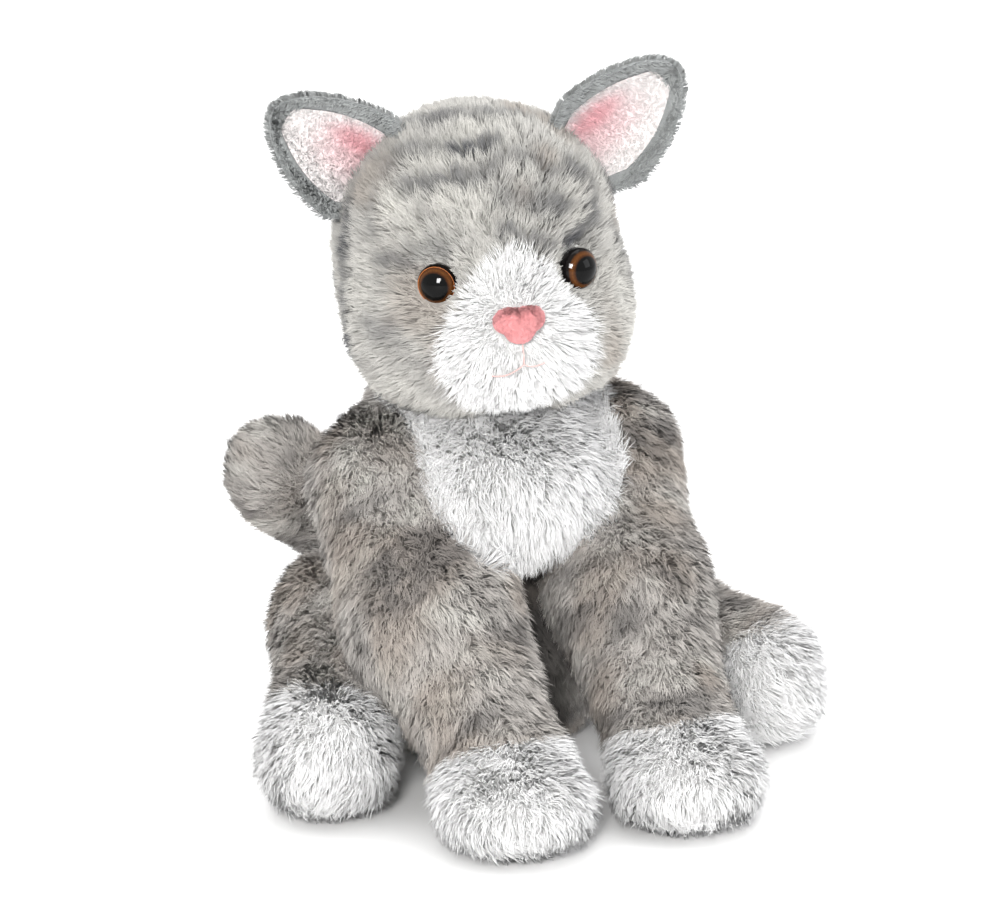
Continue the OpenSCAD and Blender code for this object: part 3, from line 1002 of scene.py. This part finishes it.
def skins(body):
    """A body's grey and white panels, each a piece of its own. Returns the whole skin to grow pile on."""
    whole = build_skin(body)
    points, quads = vertices_of(whole), quads_of(whole)
    white = panel_edge(body, points[quads].mean(1)) > 0
    panels = [(GREY_NODE[body], ~white, TABBY, "tabby_pile")]
    if body in WHITE_NODE:
        panels.append((WHITE_NODE[body], white, WHITE_PLUSH, "white_pile"))
    for cad_node, mask, _, slot_name in panels:
        obj = panel_object(cad_node + "_skin", points, quads[mask], body, slot_name == "white_pile")
        dress(obj, BACKING, slot_name, cad_node)
        follow(obj, body)
    return whole


# ---- pile of each body ----

MOST_STRANDS = 62000


def flow(body, p, n):
    """The way that the pile is brushed."""
    down = vec(0, 0, -1)
    if body == "head":
        q = (p - HEAD_C) @ HEAD_M
        away = q - NOSE_LOCAL * vec(1, 0.8, 1)
        return away @ HEAD_M.T
    if body == "torso":
        c = vec(NECK[0], NECK[1], 0)
        return down + 0.35 * unit((p - c) * vec(1, 1, 0))
    if body == "tail":
        return np.tile(limb_axis("tail"), (len(p), 1))
    axis = limb_axis(body)
    paw = panel_edge(body, p) > 0
    leg = (FRONT if body.startswith("front") else HIND)[body.split("_")[2]]
    c = (leg["low"] + leg["high"]) / 2
    ahead = unit((axis * vec(1, 1, 0)))
    spread = unit((p - vec(c[0], c[1], 30 * MM)) * vec(1, 1, 0.4))
    return np.where(paw[:, None], ahead * 0.5 + spread + down * 0.3,
                    axis + 0.25 * unit(p - c) * vec(1, 1, 0))


PILE_LENGTH = {"head": 7.5 * MM, "torso": 9 * MM, "tail": 8 * MM}
WHITE_LENGTH = {"head": 6.5 * MM, "torso": 10 * MM}
DENSITY = {"head": 3.4, "torso": 2.6, "tail": 2.6}


def covered(body, p):
    """Whether a point lies so deep inside another body that no pile there is ever seen.

    A front leg that swings up bares what it covers of a hind leg, so pile grows there too.
    """
    deep = np.zeros(len(p), bool)
    for other in OWN:
        if other == body:
            continue
        if {body.split("_")[0], other.split("_")[0]} == {"front", "hind"}:
            continue
        d = OWN[other](p)
        limit = -12 * MM if "head" in (body, other) else -5 * MM
        deep |= d < limit
        if "head" not in (body, other):
            deep |= d - OWN[body](p) < -3.5 * MM
    return deep


EYES = {}
for side in SIDES:
    out = HEAD_M @ unit(vec(SIDES[side] * 0.5, -math.cos(math.radians(30)), 0.0))
    EYES[side] = (middle(f"eye_{side}_dome"), out)
EYE_R = 7.9 * MM


def face_gaps(p):
    """True where no pile grows: the eyes and the nose."""
    bare = np.zeros(len(p), bool)
    for centre, _ in EYES.values():
        bare |= np.linalg.norm(p - centre, axis=1) < EYE_R + 0.4 * MM
    q = (p - HEAD_C) @ HEAD_M - NOSE_LOCAL
    bare |= (np.hypot(q[:, 0] / (9.0 * MM), q[:, 2] / (6.2 * MM)) < 1) & (q[:, 1] < 12 * MM)
    return bare


def pile(body, whole):
    """All the pile of one body, as separate grey and white pieces of a moderate size."""
    per_mm2 = DENSITY.get(body, 2.6) * 1.0
    p, n, rng = surface_samples(whole, per_mm2, seed=hash_name(body))
    keep = ~covered(body, p)
    under = (n[:, 2] < -0.5) & (p[:, 2] < 6 * MM)
    keep &= ~under | (rng.random(len(p)) < 0.25)
    if body == "head":
        keep &= ~face_gaps(p)
    p, n = p[keep], n[keep]
    edge = panel_edge(body, p)
    white = edge + rng.normal(0, 0.7 * MM, len(p)) > 0
    length = np.where(white, WHITE_LENGTH.get(body, 8.5 * MM), PILE_LENGTH.get(body, 9 * MM))
    if body == "head":
        for centre, _ in EYES.values():
            far = np.linalg.norm(p - centre, axis=1) - EYE_R
            length = length * (0.35 + 0.65 * step_between(0, 9 * MM, far))
        nose = np.linalg.norm((p - HEAD_C) @ HEAD_M - NOSE_LOCAL, axis=1)
        length = length * (0.4 + 0.6 * step_between(6 * MM, 20 * MM, nose))
    low_part = (p[:, 2] < 7 * MM) & (n[:, 2] < 0)
    length = length * np.where(low_part, 0.6, 1.0)
    lean = np.where(white, 40.0, 46.0)
    mid, tip = comb(p, n, flow(body, p, n), lean, length, rng)
    tint = pile_tint(p, body, edge, rng)
    for is_white, label in ((False, GREY_NODE[body]), (True, WHITE_NODE.get(body))):
        chosen = np.nonzero(white == is_white)[0]
        if label is None or len(chosen) == 0:
            continue
        parts = math.ceil(len(chosen) / MOST_STRANDS)
        order = chosen[np.argsort(p[chosen, 0], kind="stable")]
        for i, some in enumerate(np.array_split(order, parts)):
            name = label.replace("_cover", "") + "_pile" + (f"_{i + 1}" if parts > 1 else "")
            obj = strand_mesh(name, p[some] - n[some] * 0.5 * MM, mid[some], tip[some], n[some], tint[some],
                              STRAND_W * (1.0), rng)
            dress(obj, WHITE_PLUSH if is_white else TABBY, "white_pile" if is_white else "tabby_pile")
            follow(obj, body)


def hash_name(name):
    """A seed that is the same on every run."""
    return sum((i + 1) * ord(c) for i, c in enumerate(name))


# ---- ears ----

EAR_LEAN = 50.0
EAR_W = 46 * MM
EAR_H = 41 * MM
EAR_THICK = 3.2 * MM
EAR_ROOT = 0.50
LINING_INSET = 0.74
LINING_ROOT = 0.25


def ear_axes(side):
    """An ear's own directions: along its seam, to its tip, and forward."""
    a = math.radians(EAR_LEAN)
    s = SIDES[side]
    along = HEAD_M @ vec(s * math.cos(a), 0, -math.sin(a))
    tip = HEAD_M @ vec(s * math.sin(a), 0, math.cos(a))
    forward = HEAD_M @ vec(0, -1, 0)
    return along, unit(tip + 0.12 * forward), forward


def ear_surface(side, u, v):
    """A point of the ear's middle layer: u from -1 (toward the crown) to 1 across it, v up from its root."""
    along, tip, forward = ear_axes(side)
    w = np.clip(v, 0, 1)
    half = EAR_W / 2 * (1 - w**1.75) ** 0.60 * np.where(v < 0, 1 + 0.9 * v, 1)
    x = u * half
    cup = 9 * MM * np.abs(u) ** 2.2 * (1 - 0.45 * w) - 4 * MM * (1 - w)
    fold = 5 * MM * np.clip(-u, 0, 1) ** 2 * (1 - w)
    lean = -3 * MM * w**2
    y = v * EAR_H
    return (pivot(f"ear_{side}_flop") + x[:, None] * along + y[:, None] * tip
            + (cup + fold + lean)[:, None] * forward)


def ear_shell(side, inset, front_only):
    """The ear as a closed cushion, or only the middle of its front for the lining."""
    nu, nv = 48, 48
    u, v = np.meshgrid(np.linspace(-1, 1, nu), np.linspace(-EAR_ROOT, 1, nv), indexing="ij")
    u, v = u.ravel(), v.ravel()
    if front_only:
        u = u * inset * (1 - 0.25 * np.clip(v, 0, 1) ** 3)
        v = -LINING_ROOT + (v + EAR_ROOT) / (1 + EAR_ROOT) * (inset + 0.10 + LINING_ROOT)
    centre = ear_surface(side, u, v)
    step = 1e-3
    du = ear_surface(side, np.clip(u + step, -1, 1), v) - ear_surface(side, np.clip(u - step, -1, 1), v)
    dv = ear_surface(side, u, v) - ear_surface(side, u, v - step)
    n = unit(np.cross(du, dv))
    forward = ear_axes(side)[2]
    n *= np.sign((n @ forward))[:, None]
    quads = []
    for i in range(nu - 1):
        for j in range(nv - 1):
            quads.append((i * nv + j, (i + 1) * nv + j, (i + 1) * nv + j + 1, i * nv + j + 1))
    quads = np.array(quads)
    rim = np.sqrt(np.clip(1 - np.maximum(np.abs(u), np.clip(v, 0, 1)) ** 6, 0, 1))
    if front_only:
        puffed = 0.5 * MM * (1 - np.maximum(np.abs(u) / inset, v / (inset + 0.06)) ** 4)
        return centre + n * (EAR_THICK / 2 + 0.3 * MM + puffed)[:, None], quads, n
    front, back = centre + n * (EAR_THICK / 2 * rim)[:, None], centre - n * (EAR_THICK / 2 * rim)[:, None]
    points = np.vstack([front, back])
    return points, np.vstack([quads, quads[:, ::-1] + len(front)]), np.vstack([n, -n])


def outward(points, quads, n):
    """Quads turned so that their faces look the same way as the given normals."""
    a = points[quads]
    face = np.cross(a[:, 1] - a[:, 0], a[:, 2] - a[:, 0])
    flip = (face * n[quads].mean(1)).sum(1) < 0
    quads = quads.copy()
    quads[flip] = quads[flip][:, ::-1]
    return quads


def ear(side):
    body = f"ear_{side}"
    pieces = (("outer", 1.0, False, EAR_PLUSH, "short_grey_pile", 2.9 * MM, 4.2),
              ("lining", LINING_INSET, True, LINING_PLUSH, "ear_lining", 1.7 * MM, 5.5))
    for label, inset, front_only, material, slot_name, length, per_mm2 in pieces:
        points, quads, n = ear_shell(side, inset, front_only)
        quads = outward(points, quads, n)
        shell = mesh_object(f"{body}_{label}_skin", points, quads)
        set_tint(shell, ear_tint(side, points, label))
        dress(shell, BACKING if label == "outer" else BACKING_PALE, slot_name, f"{body}_{label}")
        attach(shell, body)
        p, normal, rng = surface_samples(shell, per_mm2 * (1), hash_name(shell.name))
        if label == "outer":
            keep = ~on_lining(side, p, normal)
            p, normal = p[keep], normal[keep]
        _, tip, _ = ear_axes(side)
        way = np.tile(tip, (len(p), 1))
        mid, end = comb(p, normal, way, np.full(len(p), 34.0), np.full(len(p), length),
                        rng, tuft=2.4 * MM, clump=0.25)
        tint = ear_tint(side, p, label) * (1 + 0.05 * rng.normal(size=(len(p), 1)))
        hair = strand_mesh(f"{body}_{label}_pile", p - normal * 0.3 * MM, mid, end, normal,
                           np.clip(tint, 0, 0.96),
                           0.34 * MM, rng)
        dress(hair, material, slot_name)
        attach(hair, body)


def ear_place(side, p):
    """Where a point lies on the ear: across it from -1 to 1 and from root to tip."""
    along, tip, _ = ear_axes(side)
    q = p - pivot(f"ear_{side}_flop")
    v = q @ tip / EAR_H
    half = EAR_W / 2 * (1 - np.clip(v, 0, 0.999) ** 1.75) ** 0.60
    return q @ along / half, v


def on_lining(side, p, normal):
    u, v = ear_place(side, p)
    forward = ear_axes(side)[2]
    return (np.abs(u) < LINING_INSET) & (v < LINING_INSET + 0.06) & ((normal @ forward) > 0.1)


def ear_tint(side, p, label):
    if label == "outer":
        tone = 1 + 0.06 * lumps(p, 6 * MM, 51)
        return np.tile(EAR_GREY, (len(p), 1)) * tone[:, None]
    u, v = ear_place(side, p)
    pink = 0.8 * step_between(0.75, 0.15, v) * step_between(0.75, 0.1, np.abs(u + 0.15))
    rose = step_between(0.46, 0.05, np.hypot((u + 0.35) / 0.8, v - 0.12))
    out = mix(np.tile(LINING_WHITE, (len(p), 1)), LINING_PINK, pink)
    return mix(out, LINING_ROSE, 0.55 * rose)


# ---- eyes, nose and mouth ----

DOME_R = 8.9 * MM


def lathe(name, profile, centre, axis, turns=64):
    """A turned shape: profile is (radius, height) pairs up the axis, its radius share kept as "ring"."""
    side = unit(np.cross(axis, vec(0, 0, 1)))
    other = np.cross(axis, side)
    points, ring = [], []
    for r, h in profile:
        for i in range(turns):
            a = 2 * math.pi * i / turns
            points.append(centre + axis * h + (side * math.cos(a) + other * math.sin(a)) * r)
            ring.append(r / EYE_R)
    faces = []
    for j in range(len(profile) - 1):
        for i in range(turns):
            k = (i + 1) % turns
            faces.append((j * turns + i, j * turns + k, (j + 1) * turns + k, (j + 1) * turns + i))
    faces.append(tuple(range(turns))[::-1])
    faces.append(tuple(range((len(profile) - 1) * turns, len(profile) * turns)))
    obj = mesh_object(name, points, faces)
    value = obj.data.attributes.new("ring", "FLOAT", "POINT")
    value.data.foreach_set("value", np.array(ring, np.float32))
    return obj


def eye(side):
    centre, axis = EYES[side]
    low = -3.5 * MM
    profile = [(EYE_R * 0.9, low), (EYE_R, low + 0.6 * MM), (EYE_R, -0.2 * MM)]
    drop = DOME_R - math.sqrt(DOME_R**2 - EYE_R**2)
    for t in np.linspace(1, 0.01, 22):
        r = EYE_R * t
        profile.append((r, 0.3 * MM + drop - (DOME_R - math.sqrt(DOME_R**2 - r**2))))
    dome = lathe(f"eye_{side}_gloss", profile, centre - axis * 1.8 * MM, axis)
    dress(dome, EYE, "eye_clear", f"eye_{side}_dome")
    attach(dome, "head")


NOSE_OUTLINE = [(0, 0.49), (0.40, 0.52), (0.78, 0.44), (0.98, 0.18), (0.88, -0.06),
                (0.58, -0.24), (0.36, -0.46),
                (0, -0.56)]


def nose_outline(count):
    """The nose's rounded outline, in shares of its half width and height."""
    right = NOSE_OUTLINE
    left = [(-x, z) for x, z in right[-2:0:-1]]
    points = np.array(right + left)
    t = np.linspace(0, len(points), count, endpoint=False)
    i = np.floor(t).astype(int)
    f = (t - i)[:, None]
    a, b, c, d = (points[(i + k) % len(points)] for k in (-1, 0, 1, 2))
    return 0.5 * (2 * b + (c - a) * f + (2 * a - 5 * b + 4 * c - d) * f**2 + (3 * b - a - 3 * c + d) * f**3)


def nose():
    low, high = box("nose")
    half_w = (high - low)[0] / 2 * 0.98
    tall = (high - low)[2]
    base = NOSE_LOCAL + vec(0, 2.2 * MM, 0)
    rings, turns = 16, 72
    outline = nose_outline(turns) * vec(half_w, tall)
    points = [base + vec(0, -6.4 * MM, 0)]
    for k in range(1, rings + 1):
        share = k / rings
        for x, z in outline:
            x, z = x * share, z * share
            rise = 6.4 * MM * (1 - share**3.2) ** 0.55
            for s in (-1, 1):
                hole = math.hypot((x - s * half_w * 0.60) / (1.9 * MM), (z + tall * 0.13) / (1.3 * MM))
                rise -= 0.6 * MM * math.exp(-(hole**2)) * (1 - share**8)
            rise -= 0.3 * MM * math.exp(-((x / (1.2 * MM)) ** 2)) * step_down(z / tall)
            points.append(base + vec(x, -rise, z))
    points = HEAD_C + np.array(points) @ HEAD_M.T
    faces = [(0, 1 + (i + 1) % turns, 1 + i) for i in range(turns)]
    for k in range(rings - 1):
        for i in range(turns):
            a, b = 1 + k * turns, 1 + (k + 1) * turns
            j = (i + 1) % turns
            faces.append((a + i, a + j, b + j, b + i))
    obj = mesh_object("nose_velour", points, faces)
    # Painted shade in the nostril dents.
    tone = 1 - 0.10 * nostril_painted_shade(points, half_w, tall)
    set_tint(obj, np.tile(NOSE_PINK, (len(points), 1)) * tone[:, None])
    dress(obj, BACKING_PINK, "pink_velour", "nose")
    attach(obj, "head")
    grow_velour(obj, half_w, tall)


def step_down(x):
    return 1 / (1 + math.exp(30 * x))


# How near each point lies to a nostril dent, from 0 to 1; it sets the painted shade there.
def nostril_painted_shade(points, half_w, tall):
    q = (points - HEAD_C) @ HEAD_M - NOSE_LOCAL
    hole = np.full(len(points), 9.0)
    for s in (-1, 1):
        across = (q[:, 0] - s * half_w * 0.60) / (1.9 * MM)
        hole = np.minimum(hole, np.hypot(across, (q[:, 2] + tall * 0.13) / (1.3 * MM)))
    return np.exp(-(hole**2))


def grow_velour(obj, half_w, tall):
    """The nose's very short, upright pile."""
    points = vertices_of(obj)
    faces = [tuple(f.vertices) for f in obj.data.polygons]
    tri = np.array([(f[0], f[1], f[2]) for f in faces] + [(f[0], f[2], f[3]) for f in faces if len(f) == 4])
    normals, _, area = normals_of(points, tri)
    rng = np.random.default_rng(5)
    count = 9000
    pick = tri[rng.choice(len(tri), count, p=area / area.sum())]
    w = rng.dirichlet((1, 1, 1), count)
    p = (points[pick] * w[..., None]).sum(1)
    n = unit((normals[pick] * w[..., None]).sum(1))
    front = -(HEAD_M[:, 1])
    n *= np.sign(n @ front)[:, None]
    mid, tip = comb(p, n, np.tile(vec(0, 0, -1), (count, 1)), np.full(count, 22.0),
                    np.full(count, 0.85 * MM), rng,
                    tuft=1.4 * MM, clump=0.15)
    # Painted shade in the nostril dents of the pile.
    tint = np.tile(NOSE_PINK, (count, 1)) * (1 - 0.12 * nostril_painted_shade(p, half_w, tall))[:, None]
    tint *= 1 + 0.05 * rng.normal(size=(count, 1))
    hair = strand_mesh("nose_velour_pile", p, mid, tip, n, np.clip(tint, 0, 0.95), 0.22 * MM, rng)
    dress(hair, VELOUR, "pink_velour")
    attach(hair, "head")


def on_face(x, z, above):
    """The point of the face at a place across and up from the head's centre, a little above its backing."""
    y = np.linspace(-1.5, 0, 400)[:, None] * HEAD_R
    local = np.hstack([np.full_like(y, x), y, np.full_like(y, z)])
    d = OWN["head"](HEAD_C + local @ HEAD_M.T)
    return HEAD_C + HEAD_M @ local[np.argmax(d < above)]


def thread(name, way, radius, material, cad_node, body):
    """A stitched thread along a list of points."""
    curve = bpy.data.curves.new(name, "CURVE")
    curve.dimensions = "3D"
    curve.bevel_depth = radius
    curve.bevel_resolution = 3
    for points in way:
        spline = curve.splines.new("NURBS")
        spline.points.add(len(points) - 1)
        for point, place in zip(spline.points, points):
            point.co = (*place, 1)
        spline.use_endpoint_u = True
        spline.order_u = 3
    obj = bpy.data.objects.new(name, curve)
    bpy.context.scene.collection.objects.link(obj)
    curve.materials.append(material)
    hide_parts(cad_node)
    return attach(obj, body)


MOUTH_LIFT = 3.4 * MM
MOUTH_DOWN = [(0, -6.5), (0.1, -9), (0.2, -12), (0.1, -14.6)]
MOUTH_RIGHT = [(0.1, -14.6), (-2.2, -16.2), (-5.2, -17.8), (-8.6, -18.6), (-12.0, -18.0)]
MOUTH_LEFT = [(0.1, -14.6), (2.4, -15.6), (5.0, -15.8), (8.0, -14.8)]


def mouth():
    way = []
    for line in (MOUTH_DOWN, MOUTH_RIGHT, MOUTH_LEFT):
        way.append([tuple(on_face(x * MM, NOSE_LOCAL[2] + z * MM, MOUTH_LIFT)) for x, z in line])
    thread("mouth_thread", way, 0.27 * MM, THREAD, "mouth_stitch", "head")


def back_seam():
    """Ladder stitches up the middle of the back, pulled down into the pile."""
    low, high = box("closing_seam")
    shape = skin_field("torso")
    way = []
    for z in np.linspace(low[2], high[2], 15):
        row = []
        for x in (-1.2 * MM, 0, 1.2 * MM):
            y = np.linspace(high[1] + 12 * MM, low[1] - 30 * MM, 300)[:, None]
            p = np.hstack([np.full_like(y, (low[0] + high[0]) / 2 + x), y, np.full_like(y, z)])
            row.append(tuple(p[np.argmax(shape(p) < 0.4 * MM)]))
        way.append(row)
    thread("closing_stitches", way, 0.35 * MM, SEAM_THREAD, "closing_seam", "torso")


BACKING_PINK = backing_material("velour_backing", 0.95, 1.02)


# ---- studio ----

CAMERA_FROM = -23.0
CAMERA_UP = 16.0
CAMERA_DISTANCE = 1.5
CAMERA_LENS = 143.1


def studio():
    scene = bpy.context.scene
    centre = (CAD_LOW + CAD_HIGH) / 2
    target = vec(centre[0] - 0.020, centre[1] - 0.0348, 0.130)
    a, e = math.radians(CAMERA_FROM), math.radians(CAMERA_UP)
    back = vec(math.sin(a) * math.cos(e), -math.cos(a) * math.cos(e), math.sin(e))
    camera = bpy.data.cameras.new("camera")
    camera.lens = CAMERA_LENS
    camera.sensor_width = 36
    camera.clip_start, camera.clip_end = 0.05, 50
    eye_point = bpy.data.objects.new("camera", camera)
    eye_point.location = target + back * CAMERA_DISTANCE
    eye_point.rotation_euler = Vector(-back).to_track_quat("-Z", "Y").to_euler()
    scene.collection.objects.link(eye_point)
    scene.camera = eye_point
    for name, place, size, power, tone in LAMPS:
        lamp = bpy.data.lights.new(name, "AREA")
        lamp.shape = "RECTANGLE"
        lamp.size, lamp.size_y = size
        lamp.energy = power
        lamp.color = tone
        obj = bpy.data.objects.new(name, lamp)
        obj.location = place
        obj.rotation_euler = (Vector((0, 0, 0.13)) - Vector(place)).to_track_quat("-Z", "Y").to_euler()
        obj.visible_diffuse = name != "glint"
        scene.collection.objects.link(obj)
    world = bpy.data.worlds.new("studio")
    scene.world = world
    world.use_nodes = True
    world.cycles.sampling_method = "MANUAL"
    world.cycles.sample_map_resolution = 64
    world.node_tree.nodes["Background"].inputs["Color"].default_value = (1, 1, 1, 1)
    world.node_tree.nodes["Background"].inputs["Strength"].default_value = WORLD_LIGHT
    floor = mesh_object("floor", [(-4, -4, 0), (4, -4, 0), (4, 4, 0), (-4, 4, 0)], [(0, 1, 2, 3)])
    floor.data.materials.append(speckled_material("floor", (0.93, 0.93, 0.93), 0.8, 3, 0.99, 1.0))
    scene.view_settings.view_transform = "Standard"
    scene.view_settings.look = "None"
    scene.view_settings.exposure = EXPOSURE


WORLD_LIGHT = 1.0
EXPOSURE = 0.22
LAMPS = [
    ("key", (-0.80, -1.45, 0.95), (0.30, 0.42), 19, (1.0, 0.99, 0.97)),
    ("fill", (1.1, -0.9, 0.7), (0.8, 0.8), 5, (0.97, 0.98, 1.0)),
    ("top", (0.1, 0.3, 1.4), (0.9, 0.9), 5, (1.0, 1.0, 1.0)),
    ("back", (0.5, 1.5, 0.9), (1.0, 1.0), 10, (1.0, 1.0, 1.0)),
    ("glint", (-1.00, -1.35, 0.80), (0.45, 0.62), 75, (1.0, 1.0, 1.0)),
]


# ---- the cat ----

for body_name in OWN:
    skin = skins(body_name)
    pile(body_name, skin)
    filling(body_name)
    bpy.data.objects.remove(skin)
for side in SIDES:
    ear(side)
    eye(side)
    for part, material in (("iris", AMBER), ("washer", PLASTIC)):
        frame["nodes"][f"eye_{side}_{part}"].data.materials.clear()
        frame["nodes"][f"eye_{side}_{part}"].data.materials.append(material)
nose()
mouth()
back_seam()
for name, material in (("neck_stuffing", FIBRE), ("bean_bag", BAG_CLOTH)):
    frame["nodes"][name].data.materials.clear()
    frame["nodes"][name].data.materials.append(material)
studio()
